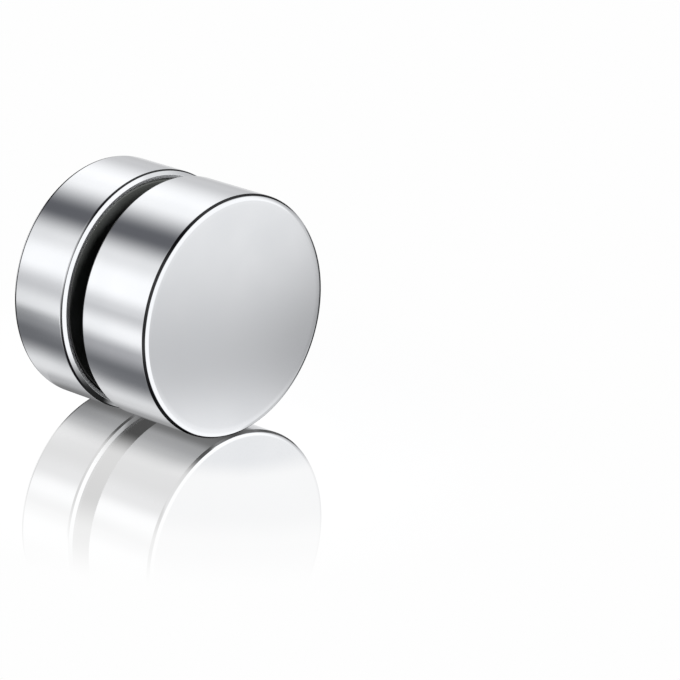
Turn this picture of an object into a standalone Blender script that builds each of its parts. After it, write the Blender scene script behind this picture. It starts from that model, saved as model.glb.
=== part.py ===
"""A round magnetic stud earring for an ear with no hole, standing on its round side.

Two steel cups face each other on one horizontal axis, each with a black magnet disc glued inside.
The front half's plain face looks towards -Y, the back half is at +Y, and the floor is at z = 0.
Units are metres, with +Z up.
"""

import math

import bmesh
import bpy

MM = 0.001

# Driving dimensions, as real sizes.
DIAMETER = 10.0 * MM         # both halves
FRONT_THICKNESS = 3.7 * MM
BACK_THICKNESS = 2.95 * MM
GAP = 1.0 * MM               # free space between the two rims, as the pair is shown
WALL = 0.36 * MM             # steel around the magnet
FACE = 0.5 * MM              # steel of the closed outer face
FACE_FILLET = 0.22 * MM      # polished round edge of the front face
BACK_FILLET = 0.15 * MM      # the same edge on the back half
RIM_FILLET = 0.12 * MM       # outer edge of each open rim
RIM_CHAMFER = 0.05 * MM      # inner edge of each open rim
RECESS = 0.08 * MM           # how far each magnet's face lies below its rim
GLUE = 0.04 * MM             # glue line between magnet and cup
MAGNET_CHAMFER = 0.1 * MM

SEGMENTS = 64                # flats around each turned piece
FILLET_STEPS = 4

RADIUS = DIAMETER / 2
LENGTH = FRONT_THICKNESS + GAP + BACK_THICKNESS
BORE = RADIUS - WALL
FLAT_RATIO = 1 / math.cos(math.pi / SEGMENTS)   # corner radius over the radius of the flats
HALF_FLAT = math.pi / SEGMENTS                  # turns a flat, not a corner, to the floor


def clear_scene():
    for item in list(bpy.data.objects):
        bpy.data.objects.remove(item, do_unlink=True)


def make_collection(name):
    collection = bpy.data.collections.new(name)
    bpy.context.scene.collection.children.link(collection)
    return collection


def make_material(name, colour, metallic, roughness):
    """colour is linear RGB."""
    material = bpy.data.materials.new(name)
    material.use_nodes = True
    shader = material.node_tree.nodes["Principled BSDF"]
    shader.inputs["Base Color"].default_value = (*colour, 1)
    shader.inputs["Metallic"].default_value = metallic
    shader.inputs["Roughness"].default_value = roughness
    material.diffuse_color = (*colour, 1)
    return material


def arc(centre, radius, start, end):
    """Points of a round stretch of an outline, from start to end in degrees."""
    points = []
    for step in range(FILLET_STEPS + 1):
        angle = math.radians(start + (end - start) * step / FILLET_STEPS)
        points.append((centre[0] + radius * math.cos(angle), centre[1] + radius * math.sin(angle)))
    return points


def cup_outline(thickness, face_fillet):
    """A cup standing on its rim: radius and height, from the middle of the closed face outwards,
    down the side, round the rim and back to the middle of the cup's floor."""
    face_centre = (RADIUS - face_fillet, thickness - face_fillet)
    rim_centre = (RADIUS - RIM_FILLET, RIM_FILLET)
    outline = [(0, thickness)]
    outline += arc(face_centre, face_fillet, 90, 0)
    outline += arc(rim_centre, RIM_FILLET, 0, -90)
    outline += [(BORE + RIM_CHAMFER, 0), (BORE, RIM_CHAMFER)]
    outline += [(BORE, thickness - FACE), (0, thickness - FACE)]
    return outline


def magnet_outline(thickness):
    """The disc that fills a cup of that thickness, apart from the glue line and the recess."""
    edge = BORE - GLUE
    top = thickness - FACE - GLUE
    return [
        (0, top),
        (edge - MAGNET_CHAMFER, top),
        (edge, top - MAGNET_CHAMFER),
        (edge, RECESS + MAGNET_CHAMFER),
        (edge - MAGNET_CHAMFER, RECESS),
        (0, RECESS),
    ]


def turned(name, outline, rim_y, outwards, material, collection):
    """A solid turned from outline, with its rim at rim_y and its closed face towards outwards,
    -1 for -Y or +1 for +Y. The object's origin is on the common axis, in the plane of the rim."""
    mesh = bpy.data.meshes.new(name)
    shape = bmesh.new()
    points = [shape.verts.new((radius * FLAT_RATIO, 0, height)) for radius, height in outline]
    for first, second in zip(points, points[1:]):
        shape.edges.new((first, second))
    shape.to_mesh(mesh)
    shape.free()
    mesh.materials.append(material)

    piece = bpy.data.objects.new(name, mesh)
    piece.location = (0, rim_y, RADIUS)
    piece.rotation_euler = (-outwards * math.pi / 2, HALF_FLAT, 0)
    collection.objects.link(piece)

    screw = piece.modifiers.new("turned", "SCREW")
    screw.axis = "Z"
    screw.angle = 2 * math.pi
    screw.screw_offset = 0
    screw.steps = SEGMENTS
    screw.render_steps = SEGMENTS
    screw.use_merge_vertices = True
    screw.merge_threshold = 0.001 * MM
    screw.use_smooth_shade = True
    return piece


def build():
    clear_scene()
    collection = make_collection("magnetic_earring")
    steel = make_material("polished_steel", (0.72, 0.72, 0.73), 1.0, 0.06)
    magnet = make_material("magnet_black", (0.012, 0.012, 0.013), 0.0, 0.35)

    front_rim = -LENGTH / 2 + FRONT_THICKNESS
    back_rim = LENGTH / 2 - BACK_THICKNESS
    turned("front_cap", cup_outline(FRONT_THICKNESS, FACE_FILLET), front_rim, -1, steel, collection)
    turned("front_magnet", magnet_outline(FRONT_THICKNESS), front_rim, -1, magnet, collection)
    turned("back_cap", cup_outline(BACK_THICKNESS, BACK_FILLET), back_rim, 1, steel, collection)
    turned("back_magnet", magnet_outline(BACK_THICKNESS), back_rim, 1, magnet, collection)


build()
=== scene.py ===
"""The finished look of a round magnetic stud earring standing on its round side.

Two mirror-polished steel cups, each with a black magnet disc glued in, stand face to face on a
white light table. Sizes are in metres, +Z is up and the common axis of both halves lies along Y.
"""

import math

import bmesh
import bpy
from bpy.props import FloatProperty, FloatVectorProperty, IntProperty, PointerProperty
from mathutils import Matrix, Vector


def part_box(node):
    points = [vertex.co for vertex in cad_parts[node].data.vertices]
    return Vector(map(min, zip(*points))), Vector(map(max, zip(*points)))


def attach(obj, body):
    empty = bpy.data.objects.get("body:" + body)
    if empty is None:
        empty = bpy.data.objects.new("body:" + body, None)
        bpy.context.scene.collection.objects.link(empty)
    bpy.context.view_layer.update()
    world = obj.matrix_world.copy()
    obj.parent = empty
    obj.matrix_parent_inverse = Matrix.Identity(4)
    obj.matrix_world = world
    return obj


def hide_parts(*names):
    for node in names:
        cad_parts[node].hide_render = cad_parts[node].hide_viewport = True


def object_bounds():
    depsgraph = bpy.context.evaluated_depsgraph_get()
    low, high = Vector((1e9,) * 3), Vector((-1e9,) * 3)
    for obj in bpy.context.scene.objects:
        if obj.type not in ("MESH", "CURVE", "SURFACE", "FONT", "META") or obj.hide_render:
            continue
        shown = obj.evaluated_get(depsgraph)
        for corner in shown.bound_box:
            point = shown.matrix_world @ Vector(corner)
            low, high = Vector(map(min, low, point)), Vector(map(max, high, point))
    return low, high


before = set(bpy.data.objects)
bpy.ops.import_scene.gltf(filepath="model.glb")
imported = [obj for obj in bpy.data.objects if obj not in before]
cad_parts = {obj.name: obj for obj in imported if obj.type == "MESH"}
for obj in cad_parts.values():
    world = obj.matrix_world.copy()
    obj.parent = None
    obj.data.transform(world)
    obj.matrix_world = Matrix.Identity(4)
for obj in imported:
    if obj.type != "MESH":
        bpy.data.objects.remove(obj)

bl_info = {
    "name": "Magnetic Stud Earring",
    "version": (1, 0, 0),
    "blender": (4, 5, 0),
    "location": "View3D > Sidebar > Earring",
    "description": "Steel cups, black magnets and a light table for a magnetic stud earring",
    "category": "Add Mesh",
}

MM = 0.001
CAD_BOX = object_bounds()
RADIUS = (CAD_BOX[1].z - CAD_BOX[0].z) / 2
AXIS_HEIGHT = (CAD_BOX[1].z + CAD_BOX[0].z) / 2

# Slopes in degrees, from the side towards the flat, of the bevels and rolls along the edges.
FRONT_BEVEL_SLOPE = 36
FRONT_ROLL_SLOPE = 70
RIM_BEVEL_SLOPE = 31
RIM_TOP_SLOPE = 60
FLAT = 90
CROWN_RINGS = 24
HOLD = 0.02 * MM                        # how close to its ends a side gets a supporting ring

# The rim's inner lip, where the buffing wheel doesn't reach.
LIP_FROM_SIDE = 0.21 * MM               # it starts this far in from the side
LIP_DEPTH = 1.0 * MM
LIP_ROUGHNESS = 0.6


def linear(code):
    """Linear RGB of an sRGB hex colour."""
    values = [int(code[i:i + 2], 16) / 255 for i in (0, 2, 4)]
    return [v / 12.92 if v <= 0.04045 else ((v + 0.055) / 1.055) ** 2.4 for v in values]


def size(name, description, millimetres):
    return FloatProperty(name=name, description=description, default=millimetres * MM, min=0,
                         subtype="DISTANCE", unit="LENGTH", precision=5)


def colour(name, description, code):
    return FloatVectorProperty(name=name, description=description, default=linear(code),
                               min=0, max=1, subtype="COLOR")


class EarringSizes(bpy.types.PropertyGroup):
    """Sizes of the turned pieces that their boxes don't give"""
    wall: size("Wall", "Steel around the magnet", 0.36)
    face: size("Face", "Steel of the closed outer face", 0.5)
    crown: size("Crown", "How far each buffed face falls away towards its edge", 0.012)
    front_bevel: size("Front bevel", "Width of the bevel round the front half's face", 0.12)
    front_roll: size("Front roll", "Radius with which that bevel rolls on into the face", 0.46)
    back_edge: size("Back edge", "Radius of the rolled edge round the back half's face", 0.17)
    rim_bevel: size("Rim bevel", "Width of the narrow outer bevel of each open rim", 0.09)
    rim_slope: size("Rim slope", "Width of the polished slope on top of each open rim", 0.155)
    corner: size("Corner", "Radius left by buffing where two slopes meet", 0.03)
    rim_chamfer: size("Rim chamfer", "Broken inner edge of each open rim", 0.05)
    magnet_edge: size("Magnet edge", "Round edge of each magnet disc", 0.1)
    segments: IntProperty(name="Segments", description="Facets around each turned piece",
                          default=256, min=32, max=1024)
    edge_steps: IntProperty(name="Edge steps", description="Facets along each arc of an edge",
                            default=8, min=2, max=32)


class EarringColours(bpy.types.PropertyGroup):
    """Colours of the steel and of the magnets"""
    steel: colour("Steel", "Clean polished stainless steel", "DBDCDE")
    steel_haze: colour("Steel haze", "Steel with a faint film from the last buffing", "D2D4D7")
    magnet: colour("Magnet", "Black epoxy coating", "1B1C1B")
    magnet_worn: colour("Magnet, worn", "The coating where handling has dulled it", "242525")


class EarringStudio(bpy.types.PropertyGroup):
    """The light table, the tent of panels round it and the camera"""
    tent_power: FloatProperty(name="Tent", description="Brightness of the white panels",
                              default=1.48, min=0)
    table_white: FloatProperty(name="Table", description="Brightness of the lit table top",
                               default=0.991, min=0)
    gap_light: FloatProperty(name="Gap light", description="Watts of the lamp that reaches the gap",
                             default=3.0, min=0)
    mirror: FloatProperty(name="Mirror", description="How much the table top mirrors at the foot",
                          default=1.0, min=0, max=1, subtype="FACTOR")
    lens: FloatProperty(name="Lens", description="Focal length in mm on a 36 mm sensor",
                        default=200, min=10)
    distance: size("Distance", "From the camera to the point it is aimed at", 150.0)
    azimuth: FloatProperty(name="Azimuth", description="Camera's bearing round the earring",
                           default=math.radians(-46.33), subtype="ANGLE", unit="ROTATION")
    elevation: FloatProperty(name="Elevation", description="Camera's height above the horizon",
                             default=math.radians(19.91), subtype="ANGLE", unit="ROTATION")


# The light tent. A place in it is the direction that leads there from the earring, a vector of
# length 1. A pair of numbers with a component's name holds the two ends of a soft transition
# along that component.

# Long panels, parallel to the earring's axis. Each is a band of the angle round that axis, counted
# in degrees from +X up over +Z, and shows as a stripe along the steel sides. The hex is the tone
# that the panel gives on clean steel.
SIDE_PANELS = (
    ("right wall, low edge", -15, "C3C3C4"),
    ("right wall", -3, "B2B2B3"),
    ("right wall, upper edge", 14, "BDBDBE"),
    ("right roof softbox", 56, "FBFBFB"),
    ("right roof softbox, inner edge", 70, "F5F5F5"),
    ("overhead flag", 104, "5E5F63"),
    ("overhead flag, far edge", 109, "5E5F63"),
    ("left roof softbox, inner edge", 134, "E3E3E3"),
    ("left roof softbox", 152, "FDFDFD"),
    ("left softbox, low edge", 165, "FEFEFE"),
    ("left seam", 184, "C7C7C8"),
    ("left table strip", 200, "F7F7F7"),
    ("left table strip, low edge", 204, "F6F6F6"),
    ("left step", 219, "ABABAD"),
    ("left flag", 240, "696A6D"),
    ("left flag, low edge", 248, "6A6B6E"),
    ("table strip", 281, "D8D8D8"),
    ("table strip, upper edge", 312, "C4C4C5"),
    ("right flag", 327, "8E8F91"),
    ("right flag, upper edge", 333, "7A7B7D"),
)

# The lower left panels end at a cut, and these stand behind it. The cut lies so that the scene's
# camera sees them on the back half alone. Everywhere else the panels above run on to the rear.
REAR_PANELS = (
    ("left rear softbox, low edge", 161, "FEFEFE"),
    ("left rear seam", 181, "C5C5C6"),
    ("left rear strip", 197, "E0E0E0"),
    ("left rear strip, low edge", 201, "DEDEDE"),
    ("left rear step", 212, "8C8D8E"),
    ("left rear step, low edge", 217, "808183"),
    ("left rear flag", 229, "646568"),
    ("left rear flag, low edge", 237, "67686B"),
    ("rear table strip", 267, "DBDBDB"),
    ("rear table strip, middle", 271, "D9D9D9"),
    ("rear table strip, shaded end", 292, "AEAEAF"),
    ("rear table strip, far end", 318, "9A9A9B"),
)
REAR_PLACES = (157, 324)                # the span of degrees that they take
REAR_CUT = (0.6909, 0.6948)             # y, leaned by REAR_LEAN: where the two sets meet
REAR_LEAN = 0.0117

# The big white card in front of the earring, which its front face mirrors: height z, tone. A fold
# in the card, on the side that faces the camera, gives the face its soft shade.
FRONT_CARD = (
    ("table side", -0.6, "FAFAFA"),
    ("below the fold", -0.374, "F2F2F2"),
    ("fold", -0.3505, "B8B8B9"),
    ("above the fold", -0.305, "E4E4E4"),
    ("upper half", -0.245, "FAFAFA"),
    ("upper half, far", 0.1, "FAFAFA"),
    ("top", 0.34, "DEDEDE"),
    ("top edge", 0.6, "DEDEDE"),
)
CARD_FACING = (0.680, -0.649, -0.341)   # the middle of the card
CARD_EDGE = (0.2, 0.42)                 # cosine of the angle from there
CARD_RIGHT_END = (0.9, 0.72)            # x
FOLD_END = (0.63, 0.53)                 # x: the card is flat to the left of it
FLAT_CARD_TONE = "FAFAFA"
CARD_SHADE = (0.655, 0.695)             # x: dimmer to the right of it
CARD_SHADE_SHARE = 0.6                  # the light that is left there
CARD_SHADE_LEAN = 0.65                  # how far the dimmer side leans to the right, per z
CARD_SHADE_LEAN_FROM = -0.34            # z

# The dark floor of the room, below the card and to the left of the camera.
ROOM_FLOOR_TOP = (-0.56, -0.84)         # z
ROOM_FLOOR_RIGHT = (0.4, 0.25)          # x
ROOM_FLOOR_NEAR = (-0.86, -0.8)         # cosine from the front frame's axis
ROOM_FLOOR_COLOUR = (0.02, 0.02, 0.02, 1)

# The plain wall behind the earring, where the long panels end.
WALL_BEHIND = (0.8, 0.92)               # y
WALL_TONE = "F0F0F0"

# Frames and a flag of black cloth, which draw the dark lines along the polished edges. Each is a
# ring round an axis: cosine of the angle from that axis, and the share of light that is left there.
CLOTHS = (
    ("front frame", (-0.339, 0.924, 0.174),
     ((-1.0, 1.0), (-0.37, 1.0), (-0.3, 0.04), (0.04, 0.04), (0.13, 1.0), (1.0, 1.0))),
    ("rear frame", (0, 1, 0),
     ((-1.0, 1.0), (0.72, 1.0), (0.75, 0.02), (0.95, 0.02), (0.975, 1.0), (1.0, 1.0))),
    ("right flag", (0.905, -0.25, -0.341),
     ((-1.0, 1.0), (0.966, 1.0), (0.983, 0.08), (1.0, 0.08))),
)
FRONT_FRAME_AXIS = CLOTHS[0][1]

# How strongly the table top mirrors, by distance in mm from the line that the earring stands on.
MIRROR_FADE = ((0, 1.0), (2.7, 1.0), (4.9, 0.31), (8.4, 0.35), (11.5, 0.13), (15.5, 0.0), (20, 0.0))
MIRRORED_WHITE = 0.92                   # what the table's own light loses where it mirrors fully
# Painted contact shade: a black card under the earring, seen only in the steel, hides the tent
# there. How much light the steel still gets through it, by distance in mm from the same line.
CONTACT_SHADE_LIGHT = ((0, 0.0), (1.1, 0.16), (1.6, 0.4), (2.3, 0.5), (3.2, 0.88), (4.2, 1.0), (20, 1.0))
CONTACT_SHADE_SIDE = 6 * MM
CONTACT_SHADE_BEHIND = 1.2 * MM                 # how far it reaches behind the back half
CONTACT_SHADE_DEPTH = 0.004 * MM                # just under the table top

TABLE_RADIUS = 3.0                      # metres, so that its edge is out of sight
TABLE_SIDES = 96

LAMP_TOWARDS = (0.12, 0.9, -0.5)
LAMP_DISTANCE = 200 * MM
LAMP_SIZE = 80 * MM
CAMERA_AIM = Vector((2.634, -7.025, 4.158)) * MM

SMOOTH = {"interpolation_type": "SMOOTHSTEP"}
MIX_COLOURS = {"data_type": "RGBA"}


def add(tree, kind, settings=None, values=None, links=None):
    """Adds a node. settings are its attributes, values its inputs, links its inputs' sources."""
    node = tree.nodes.new(kind)
    for name, value in (settings or {}).items():
        setattr(node, name, value)
    for key, value in (values or {}).items():
        node.inputs[key].default_value = value
    for key, source in (links or {}).items():
        tree.links.new(source, node.inputs[key])
    return node


def fill_ramp(node, stops, interpolation):
    """Sets a colour ramp's stops, pairs of position and linear RGB."""
    ramp = node.color_ramp
    ramp.interpolation = interpolation
    while len(ramp.elements) > 1:
        ramp.elements.remove(ramp.elements[-1])
    for index, (position, rgb) in enumerate(stops):
        element = ramp.elements[0] if index == 0 else ramp.elements.new(position)
        element.position = position
        element.color = (*rgb, 1)


def span(ends, low=0.0, high=1.0):
    """What a Map Range node takes to turn the first end into low and the second into high."""
    return {"From Min": ends[0], "From Max": ends[1], "To Min": low, "To Max": high}


def new_material(name):
    material = bpy.data.materials.new(name)
    material.use_nodes = True
    material.node_tree.nodes.clear()
    return material, material.node_tree


def polished_stainless_steel(colours):
    """Austenitic stainless steel, turned, then buffed on a wheel to a mirror. It shows the studio
    in clean bands, slightly softened by marks that run round the axis, and a faint film of
    polish."""
    material, tree = new_material("polished_stainless_steel")
    place = add(tree, "ShaderNodeTexCoord").outputs["Object"]
    parts = add(tree, "ShaderNodeSeparateXYZ", links={0: place})
    across = add(tree, "ShaderNodeCombineXYZ", links={0: parts.outputs[0], 1: parts.outputs[1]})
    radius = add(tree, "ShaderNodeVectorMath", {"operation": "LENGTH"},
                 links={0: across.outputs[0]}).outputs["Value"]

    # Buffing marks are about 0.01 mm apart. They are drawn 0.07 mm apart, two pixels of the
    # picture, and stretched round the turning axis, which is the piece's own Z.
    marks = add(tree, "ShaderNodeCombineXYZ")
    scales = ((radius, 0.07 * MM), (parts.outputs[2], 0.07 * MM), (parts.outputs[0], 3 * MM))
    for index, (source, spacing) in enumerate(scales):
        scaled = add(tree, "ShaderNodeMath", {"operation": "DIVIDE"}, {1: spacing}, {0: source})
        tree.links.new(scaled.outputs[0], marks.inputs[index])
    scratches = add(tree, "ShaderNodeTexNoise",
                    values={"Scale": 1.0, "Detail": 3.0, "Roughness": 0.6},
                    links={"Vector": marks.outputs[0]})
    relief = add(tree, "ShaderNodeBump", values={"Strength": 0.25, "Distance": 0.0001 * MM},
                 links={"Height": scratches.outputs[0]})

    film = add(tree, "ShaderNodeTexNoise", values={"Scale": 1 / (2.5 * MM), "Detail": 4.0},
               links={"Vector": place})
    tint = add(tree, "ShaderNodeMix", MIX_COLOURS,
               {6: (*colours.steel, 1), 7: (*colours.steel_haze, 1)}, {0: film.outputs[0]})
    gloss = add(tree, "ShaderNodeMapRange", values={"To Min": 0.05, "To Max": 0.1},
                links={"Value": film.outputs[0]})

    # The wheel doesn't reach into the cup, so the rim's inner lip keeps the cutter's satin.
    inside = add(tree, "ShaderNodeMath", {"operation": "LESS_THAN"}, {1: RADIUS - LIP_FROM_SIDE},
                 {0: radius})
    low = add(tree, "ShaderNodeMath", {"operation": "LESS_THAN"}, {1: LIP_DEPTH},
              {0: parts.outputs[2]})
    satin = add(tree, "ShaderNodeMath", {"operation": "MULTIPLY"},
                links={0: inside.outputs[0], 1: low.outputs[0]})
    finish = add(tree, "ShaderNodeMix", values={3: LIP_ROUGHNESS},
                 links={0: satin.outputs[0], 2: gloss.outputs[0]})

    shader = add(tree, "ShaderNodeBsdfPrincipled", values={"Metallic": 1.0},
                 links={"Base Color": tint.outputs[2], "Roughness": finish.outputs[0],
                        "Normal": relief.outputs[0]})
    add(tree, "ShaderNodeOutputMaterial", links={"Surface": shader.outputs[0]})
    return material


def black_epoxy_coating(colours):
    """Sintered magnet with a black epoxy coat, tumbled and baked on. It is a satin black with a
    slight orange peel, duller where fingers have been."""
    material, tree = new_material("black_epoxy_coating")
    place = add(tree, "ShaderNodeTexCoord").outputs["Object"]
    # The orange peel of a baked coat this thin is about 0.15 mm from crest to crest.
    peel = add(tree, "ShaderNodeTexNoise", values={"Scale": 1 / (0.15 * MM), "Detail": 2.0},
               links={"Vector": place})
    relief = add(tree, "ShaderNodeBump", values={"Strength": 0.5, "Distance": 0.004 * MM},
                 links={"Height": peel.outputs[0]})
    # Wear is drawn in patches about 1.8 mm wide, a fifth of the disc.
    wear = add(tree, "ShaderNodeTexNoise", values={"Scale": 1 / (1.8 * MM), "Detail": 6.0},
               links={"Vector": place})
    patches = add(tree, "ShaderNodeMapRange", values=span((0.45, 0.7)),
                  links={"Value": wear.outputs[0]})
    tint = add(tree, "ShaderNodeMix", MIX_COLOURS,
               {6: (*colours.magnet, 1), 7: (*colours.magnet_worn, 1)}, {0: patches.outputs[0]})
    gloss = add(tree, "ShaderNodeMapRange", values={"To Min": 0.3, "To Max": 0.38},
                links={"Value": patches.outputs[0]})
    shader = add(tree, "ShaderNodeBsdfPrincipled", values={"IOR": 1.55},
                 links={"Base Color": tint.outputs[2], "Roughness": gloss.outputs[0],
                        "Normal": relief.outputs[0]})
    add(tree, "ShaderNodeOutputMaterial", links={"Surface": shader.outputs[0]})
    return material


def arc(centre, radius, start, end, steps):
    """Points of a round stretch of an outline, from start to end in degrees."""
    points = []
    for step in range(steps + 1):
        angle = math.radians(start + (end - start) * step / steps)
        points.append((centre[0] + radius * math.cos(angle), centre[1] + radius * math.sin(angle)))
    return points


def worked_edge(radius, height, stretches, steps):
    """An outer edge in profile, from the side to the flat that lies at height. Each stretch is the
    radius of an arc, the slope in degrees that it turns to and the width of the straight bevel
    that follows it."""
    x, y, slope, points = 0.0, 0.0, 0.0, []
    for roundness, turned_to, bevel in stretches:
        start, end = math.radians(slope), math.radians(turned_to)
        centre = (x - roundness * math.cos(start), y - roundness * math.sin(start))
        points += arc(centre, roundness, slope, turned_to, steps)
        x, y = points[-1]
        if bevel:
            x, y = x - bevel * math.sin(end), y + bevel * math.cos(end)
            points.append((x, y))
        slope = turned_to
    return [(radius + px, height - y + py) for px, py in points]


def crowned(radius, height, crown):
    """A very slightly domed face in profile, from its middle to its edge, which lies at height."""
    shares = [ring / CROWN_RINGS for ring in range(CROWN_RINGS)]
    return [(radius * share, height + crown * (1 - share ** 2)) for share in shares]


def cup_outline(sizes, radius, thickness, edge):
    """A cup standing on its rim, as radius and height: from the middle of the closed face outwards,
    down the side, round the rim and back to the middle of the cup's floor."""
    steps, bore, corner = sizes.edge_steps, radius - sizes.wall, sizes.corner
    face_edge = thickness - sizes.crown
    face = worked_edge(radius, face_edge, edge, steps)
    stretches = ((corner, RIM_BEVEL_SLOPE, sizes.rim_bevel),
                 (corner, RIM_TOP_SLOPE, sizes.rim_slope), (corner, FLAT, 0))
    rim = worked_edge(radius, 0, stretches, steps)
    outline = crowned(face[-1][0], face_edge, sizes.crown)
    outline += reversed(face)
    # two points close to the side's ends, so that it mirrors as a true cylinder between them
    outline += [(radius, face[0][1] - HOLD), (radius, -rim[0][1] + HOLD)]
    outline += [(x, -y) for x, y in rim]
    outline += [(bore + sizes.rim_chamfer, 0), (bore, sizes.rim_chamfer)]
    outline += [(bore, thickness - sizes.face), (0, thickness - sizes.face)]
    return outline


def disc_outline(sizes, radius, low, high):
    """A magnet disc with round edges, between two heights over the rim's plane."""
    steps, edge = sizes.edge_steps, sizes.magnet_edge
    outline = [(0, high)]
    outline += arc((radius - edge, high - edge), edge, 90, 0, steps)
    outline += arc((radius - edge, low + edge), edge, 0, -90, steps)
    outline += [(0, low)]
    return outline


def turned(name, outline, rim_y, outwards, segments, material):
    """A solid turned from outline. Its rim is at rim_y and its closed side faces outwards, -1 for
    -Y or +1 for +Y. Its own Z is the turning axis."""
    shape = bmesh.new()
    points = [shape.verts.new((radius, 0, height)) for radius, height in outline]
    edges = [shape.edges.new(pair) for pair in zip(points, points[1:])]
    bmesh.ops.spin(shape, geom=points + edges, cent=(0, 0, 0), axis=(0, 0, 1),
                   angle=2 * math.pi, steps=segments, use_merge=True)
    bmesh.ops.remove_doubles(shape, verts=shape.verts, dist=0.0001 * MM)
    bmesh.ops.recalc_face_normals(shape, faces=shape.faces)
    mesh = bpy.data.meshes.new(name)
    shape.to_mesh(mesh)
    shape.free()
    mesh.shade_smooth()
    mesh.set_sharp_from_angle(angle=math.radians(30))
    mesh.materials.append(material)
    piece = bpy.data.objects.new(name, mesh)
    piece.location = (0, rim_y, AXIS_HEIGHT)
    piece.rotation_euler = (-outwards * math.pi / 2, 0, 0)
    bpy.context.scene.collection.objects.link(piece)
    # Flats keep their own normal up to their edge, so they mirror without a false roll-off.
    flats = piece.modifiers.new("flats", "WEIGHTED_NORMAL")
    flats.mode = "FACE_AREA"
    flats.weight = 100
    flats.keep_sharp = True
    return piece


HALVES = (
    # body, closed side's direction, cup and magnet nodes
    ("front", -1, "front_cap", "front_magnet"),
    ("back", 1, "back_cap", "back_magnet"),
)


def along(node, outwards):
    """Where a node's open end and closed end lie along Y."""
    low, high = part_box(node)
    return (high.y, low.y) if outwards < 0 else (low.y, high.y)


class EARRING_OT_cups(bpy.types.Operator):
    """Turn the two polished steel cups"""
    bl_idname = "earring.cups"
    bl_label = "Steel cups"

    def execute(self, context):
        sizes = context.scene.earring_sizes
        steel = polished_stainless_steel(context.scene.earring_colours)
        for body, outwards, cup_node, _ in HALVES:
            rim_y, face_y = along(cup_node, outwards)
            low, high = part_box(cup_node)
            if body == "front":
                edge = ((sizes.corner, FRONT_BEVEL_SLOPE, sizes.front_bevel),
                        (2 * sizes.corner, FRONT_ROLL_SLOPE, 0), (sizes.front_roll, FLAT, 0))
            else:
                edge = ((sizes.back_edge, FLAT, 0),)
            outline = cup_outline(sizes, (high.z - low.z) / 2, abs(face_y - rim_y), edge)
            cup = turned(f"{body}_cup", outline, rim_y, outwards, sizes.segments, steel)
            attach(cup, body)
            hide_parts(cup_node)
        return {"FINISHED"}


class EARRING_OT_magnets(bpy.types.Operator):
    """Make the two black magnet discs inside the cups"""
    bl_idname = "earring.magnets"
    bl_label = "Magnets"

    def execute(self, context):
        sizes = context.scene.earring_sizes
        coating = black_epoxy_coating(context.scene.earring_colours)
        for body, outwards, cup_node, magnet_node in HALVES:
            rim_y = along(cup_node, outwards)[0]
            open_y, closed_y = along(magnet_node, outwards)
            low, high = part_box(magnet_node)
            outline = disc_outline(sizes, (high.z - low.z) / 2, abs(open_y - rim_y),
                                   abs(closed_y - rim_y))
            disc = turned(f"{body}_magnet_disc", outline, rim_y, outwards, sizes.segments, coating)
            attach(disc, body)
            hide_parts(magnet_node)
        return {"FINISHED"}


def panel_tones(tree, turn, panels):
    """The long panels' tones by turn, the place round the earring's axis as a share of a turn."""
    stops = sorted(((place + 180) % 360 / 360, linear(tone)) for _, place, tone in panels)
    # the two ends of the ramp meet on the left, where both take the tone between their neighbours
    (first, low), (last, high) = stops[0], stops[-1]
    share = first / (first + 1 - last)
    seam = [a + (b - a) * share for a, b in zip(low, high)]
    ramp = add(tree, "ShaderNodeValToRGB", links={0: turn})
    fill_ramp(ramp, [(0.0, seam)] + stops + [(1.0, seam)], "EASE")
    return ramp.outputs[0]


def long_panels(tree, x, y, z):
    """The panels round the earring's axis, with their own set behind the cut."""
    angle = add(tree, "ShaderNodeMath", {"operation": "ARCTAN2"}, links={0: z, 1: x})
    turn = add(tree, "ShaderNodeMapRange", values=span((-math.pi, math.pi)),
               links={"Value": angle.outputs[0]}).outputs[0]
    low, high = REAR_PLACES
    others = tuple(panel for panel in SIDE_PANELS if not low < panel[1] < high)
    # y, leaned a little by x, is the same for everything that the gap between the halves hides
    cut = add(tree, "ShaderNodeMath", {"operation": "MULTIPLY_ADD"}, {1: REAR_LEAN}, {0: x, 2: y})
    rear = add(tree, "ShaderNodeMapRange", SMOOTH, span(REAR_CUT), {"Value": cut.outputs[0]})
    both = add(tree, "ShaderNodeMix", MIX_COLOURS,
               links={0: rear.outputs[0], 6: panel_tones(tree, turn, SIDE_PANELS),
                      7: panel_tones(tree, turn, others + REAR_PANELS)})
    return both.outputs[2]


def front_card(tree, x, z):
    """The white card in front, with its fold at the camera's end, dimmer towards its right edge."""
    low, high = FRONT_CARD[0][1], FRONT_CARD[-1][1]
    height = add(tree, "ShaderNodeMapRange", values=span((low, high)), links={"Value": z})
    card = add(tree, "ShaderNodeValToRGB", links={0: height.outputs[0]})
    fill_ramp(card, [((sine - low) / (high - low), linear(tone)) for _, sine, tone in FRONT_CARD],
              "EASE")
    flat = add(tree, "ShaderNodeMapRange", SMOOTH, span(FOLD_END), {"Value": x})
    card = add(tree, "ShaderNodeMix", MIX_COLOURS, {7: (*linear(FLAT_CARD_TONE), 1)},
               {0: flat.outputs[0], 6: card.outputs[0]})
    above = add(tree, "ShaderNodeMath", {"operation": "SUBTRACT"}, {1: CARD_SHADE_LEAN_FROM},
                {0: z})
    above = add(tree, "ShaderNodeMath", {"operation": "MAXIMUM"}, {1: 0.0}, {0: above.outputs[0]})
    leaned = add(tree, "ShaderNodeMath", {"operation": "MULTIPLY_ADD"}, {1: -CARD_SHADE_LEAN},
                 {0: above.outputs[0], 2: x})
    light = add(tree, "ShaderNodeMapRange", SMOOTH, span(CARD_SHADE, 1.0, CARD_SHADE_SHARE),
                {"Value": leaned.outputs[0]})
    return add(tree, "ShaderNodeVectorMath", {"operation": "SCALE"},
               links={0: card.outputs[2], "Scale": light.outputs[0]}).outputs[0]


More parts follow.
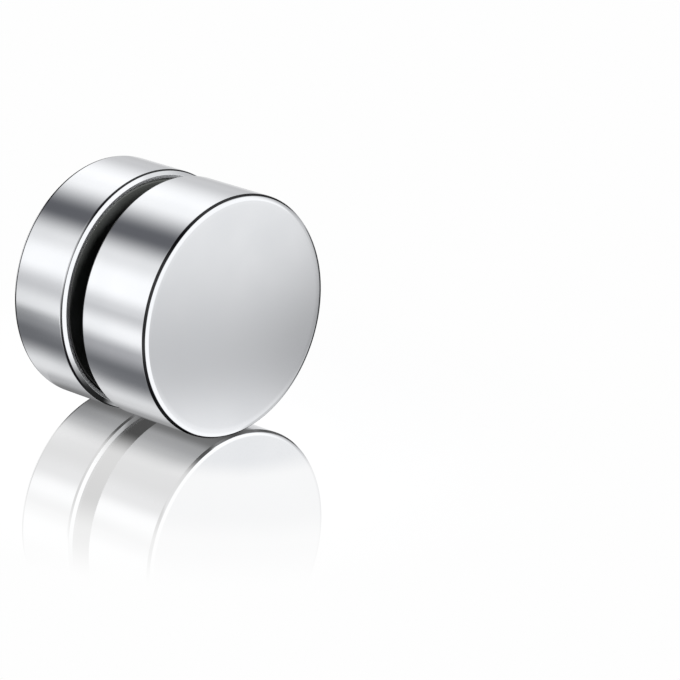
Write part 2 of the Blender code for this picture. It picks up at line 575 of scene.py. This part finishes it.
def cosine_from(tree, axis, direction):
    """Cosine of the angle between the direction looked in and an axis."""
    return add(tree, "ShaderNodeVectorMath", {"operation": "DOT_PRODUCT"}, {1: axis},
               {0: direction}).outputs["Value"]


def where_all(tree, transitions):
    """The product of several soft transitions, pairs of a value and the transition's two ends."""
    product = None
    for source, ends in transitions:
        share = add(tree, "ShaderNodeMapRange", SMOOTH, span(ends), {"Value": source}).outputs[0]
        if product is not None:
            share = add(tree, "ShaderNodeMath", {"operation": "MULTIPLY"},
                        links={0: product, 1: share}).outputs[0]
        product = share
    return product


def light_tent(studio):
    """White panels and dark flags all round, which only the earring mirrors. The camera sees
    plain white."""
    world = bpy.data.worlds.new("light_tent")
    bpy.context.scene.world = world
    world.use_nodes = True
    tree = world.node_tree
    tree.nodes.clear()
    direction = add(tree, "ShaderNodeTexCoord").outputs["Generated"]
    x, y, z = add(tree, "ShaderNodeSeparateXYZ", links={0: direction}).outputs
    panels, card = long_panels(tree, x, y, z), front_card(tree, x, z)

    near = cosine_from(tree, FRONT_FRAME_AXIS, direction)
    floor = where_all(tree, ((z, ROOM_FLOOR_TOP), (x, ROOM_FLOOR_RIGHT), (near, ROOM_FLOOR_NEAR)))
    card = add(tree, "ShaderNodeMix", MIX_COLOURS, {7: ROOM_FLOOR_COLOUR}, {0: floor, 6: card})
    facing = cosine_from(tree, CARD_FACING, direction)
    reach = where_all(tree, ((facing, CARD_EDGE), (x, CARD_RIGHT_END)))
    tones = add(tree, "ShaderNodeMix", MIX_COLOURS, links={0: reach, 6: panels, 7: card.outputs[2]})
    behind = add(tree, "ShaderNodeMapRange", SMOOTH, span(WALL_BEHIND), {"Value": y})
    walls = add(tree, "ShaderNodeMix", MIX_COLOURS, {7: (*linear(WALL_TONE), 1)},
                {0: behind.outputs[0], 6: tones.outputs[2]})
    for _, axis, light_left in CLOTHS:
        place = add(tree, "ShaderNodeMapRange", values=span((-1.0, 1.0)),
                    links={"Value": cosine_from(tree, axis, direction)})
        cloth = add(tree, "ShaderNodeValToRGB", links={0: place.outputs[0]})
        fill_ramp(cloth, [((cosine + 1) / 2, (share,) * 3) for cosine, share in light_left], "EASE")
        walls = add(tree, "ShaderNodeMix", {**MIX_COLOURS, "blend_type": "MULTIPLY"}, {0: 1.0},
                    {6: walls.outputs[2], 7: cloth.outputs[0]})

    tent = add(tree, "ShaderNodeBackground", values={"Strength": studio.tent_power},
               links={"Color": walls.outputs[2]})
    plain = add(tree, "ShaderNodeBackground",
                values={"Color": (1, 1, 1, 1), "Strength": studio.table_white})
    seen = add(tree, "ShaderNodeLightPath").outputs["Is Camera Ray"]
    both = add(tree, "ShaderNodeMixShader",
               links={0: seen, 1: tent.outputs[0], 2: plain.outputs[0]})
    add(tree, "ShaderNodeOutputWorld", links={"Surface": both.outputs[0]})


def by_distance_from_foot(tree, table):
    """A value from table, by distance in mm from the line along Y that the earring stands on."""
    place = add(tree, "ShaderNodeNewGeometry").outputs["Position"]
    x, y, _ = add(tree, "ShaderNodeSeparateXYZ", links={0: place}).outputs
    half = (CAD_BOX[1].y - CAD_BOX[0].y) / 2
    beyond = add(tree, "ShaderNodeMath", {"operation": "ABSOLUTE"}, links={0: y})
    beyond = add(tree, "ShaderNodeMath", {"operation": "SUBTRACT"}, {1: half},
                 {0: beyond.outputs[0]})
    beyond = add(tree, "ShaderNodeMath", {"operation": "MAXIMUM"}, {1: 0.0}, {0: beyond.outputs[0]})
    offset = add(tree, "ShaderNodeCombineXYZ", links={0: x, 1: beyond.outputs[0]})
    away = add(tree, "ShaderNodeVectorMath", {"operation": "LENGTH"}, links={0: offset.outputs[0]})
    last = table[-1][0]
    share = add(tree, "ShaderNodeMapRange", values={"From Max": last * MM},
                links={"Value": away.outputs["Value"]})
    ramp = add(tree, "ShaderNodeValToRGB", links={0: share.outputs[0]})
    fill_ramp(ramp, [(distance / last, (value,) * 3) for distance, value in table], "EASE")
    return ramp.outputs[0]


def opal_acrylic(studio):
    """Glossy opal acrylic lit from below. It reads as even white, and mirrors what stands on it,
    most of all at its foot."""
    material, tree = new_material("opal_acrylic")
    fade = by_distance_from_foot(tree, MIRROR_FADE)
    mirror = add(tree, "ShaderNodeMath", {"operation": "MULTIPLY"}, {1: studio.mirror}, {0: fade})
    # the sheet glows less where it mirrors more, so the bare table stays even
    lit = add(tree, "ShaderNodeMath", {"operation": "MULTIPLY_ADD"},
              {1: -MIRRORED_WHITE, 2: studio.table_white}, {0: mirror.outputs[0]})
    glow = add(tree, "ShaderNodeEmission", values={"Color": (1, 1, 1, 1)},
               links={"Strength": lit.outputs[0]})
    shine = add(tree, "ShaderNodeBsdfGlossy", values={"Roughness": 0.0},
                links={"Color": mirror.outputs[0]})
    both = add(tree, "ShaderNodeAddShader", links={0: glow.outputs[0], 1: shine.outputs[0]})
    add(tree, "ShaderNodeOutputMaterial", links={"Surface": both.outputs[0]})
    return material


def painted_contact_shade():
    """Painted shade: a black card that round steel mirrors beside its own foot. It stands in for
    the shade of the narrow wedge over the table that no light reaches."""
    material, tree = new_material("painted_contact_shade")
    light = by_distance_from_foot(tree, CONTACT_SHADE_LIGHT)
    dark = add(tree, "ShaderNodeEmission", values={"Strength": 0.0})
    clear = add(tree, "ShaderNodeBsdfTransparent")
    both = add(tree, "ShaderNodeMixShader",
               links={0: light, 1: dark.outputs[0], 2: clear.outputs[0]})
    add(tree, "ShaderNodeOutputMaterial", links={"Surface": both.outputs[0]})
    return material


def sheet(name, corners, material):
    """A flat piece of the stage."""
    mesh = bpy.data.meshes.new(name)
    mesh.from_pydata(corners, [], [range(len(corners))])
    mesh.materials.append(material)
    piece = bpy.data.objects.new(name, mesh)
    bpy.context.scene.collection.objects.link(piece)
    return piece


class EARRING_OT_stage(bpy.types.Operator):
    """Set up the light table, the light tent and the camera"""
    bl_idname = "earring.stage"
    bl_label = "Light table and camera"

    def execute(self, context):
        scene, studio = context.scene, context.scene.earring_studio
        light_tent(studio)
        scene.view_settings.view_transform = "Standard"

        # the steel mirrors the tent alone, and only the black card of painted contact shade right
        # under it hides the tent's floor
        turn = [2 * math.pi * side / TABLE_SIDES for side in range(TABLE_SIDES)]
        corners = [(TABLE_RADIUS * math.cos(a), TABLE_RADIUS * math.sin(a), 0) for a in turn]
        table = sheet("light_table", corners, opal_acrylic(studio))
        table.visible_glossy = False
        front, back = CAD_BOX[0].y, CAD_BOX[1].y + CONTACT_SHADE_BEHIND
        corners = [(x, y, -CONTACT_SHADE_DEPTH) for x, y in ((-CONTACT_SHADE_SIDE, front), (CONTACT_SHADE_SIDE, front),
                                                     (CONTACT_SHADE_SIDE, back), (-CONTACT_SHADE_SIDE, back))]
        # a black card of painted contact shade, seen only in the steel's reflections
        shade_card = sheet("contact_shade_card", corners, painted_contact_shade())
        shade_card.visible_camera = shade_card.visible_diffuse = shade_card.visible_shadow = False

        lamp = bpy.data.lights.new("gap_light", "AREA")
        lamp.shape = "DISK"
        lamp.size = LAMP_SIZE
        lamp.energy = studio.gap_light
        gap_light = bpy.data.objects.new("gap_light", lamp)
        scene.collection.objects.link(gap_light)
        gap_light.visible_glossy = False
        towards = Vector(LAMP_TOWARDS).normalized()
        gap_light.location = Vector((0, 0, AXIS_HEIGHT)) - towards * LAMP_DISTANCE
        gap_light.rotation_mode = "QUATERNION"
        gap_light.rotation_quaternion = towards.to_track_quat("-Z", "Y")

        data = bpy.data.cameras.new("camera")
        data.lens = studio.lens
        data.sensor_width = 36
        data.clip_start = 0.001
        camera = bpy.data.objects.new("camera", data)
        scene.collection.objects.link(camera)
        scene.camera = camera
        side, tilt = studio.azimuth, studio.elevation
        forward = Vector((-math.sin(side) * math.cos(tilt), math.cos(side) * math.cos(tilt),
                          -math.sin(tilt)))
        camera.location = CAMERA_AIM - forward * studio.distance
        camera.rotation_mode = "QUATERNION"
        camera.rotation_quaternion = forward.to_track_quat("-Z", "Y")
        return {"FINISHED"}


class EARRING_PT_panel(bpy.types.Panel):
    """The earring's pieces, stage, sizes and colours"""
    bl_idname = "EARRING_PT_panel"
    bl_label = "Magnetic earring"
    bl_space_type = "VIEW_3D"
    bl_region_type = "UI"
    bl_category = "Earring"

    def draw(self, context):
        layout = self.layout
        for operator in OPERATORS:
            layout.operator(operator.bl_idname)
        scene = context.scene
        for group in (scene.earring_sizes, scene.earring_colours, scene.earring_studio):
            column = layout.column()
            for name in group.__annotations__:
                column.prop(group, name)


GROUPS = (EarringSizes, EarringColours, EarringStudio)
OPERATORS = (EARRING_OT_cups, EARRING_OT_magnets, EARRING_OT_stage)


def register():
    for item in GROUPS + OPERATORS + (EARRING_PT_panel,):
        bpy.utils.register_class(item)
    bpy.types.Scene.earring_sizes = PointerProperty(type=EarringSizes)
    bpy.types.Scene.earring_colours = PointerProperty(type=EarringColours)
    bpy.types.Scene.earring_studio = PointerProperty(type=EarringStudio)


def unregister():
    del bpy.types.Scene.earring_sizes
    del bpy.types.Scene.earring_colours
    del bpy.types.Scene.earring_studio
    for item in reversed(GROUPS + OPERATORS + (EARRING_PT_panel,)):
        bpy.utils.unregister_class(item)


def main():
    register()
    bpy.ops.earring.cups()
    bpy.ops.earring.magnets()
    bpy.ops.earring.stage()


if __name__ == "__main__":
    main()
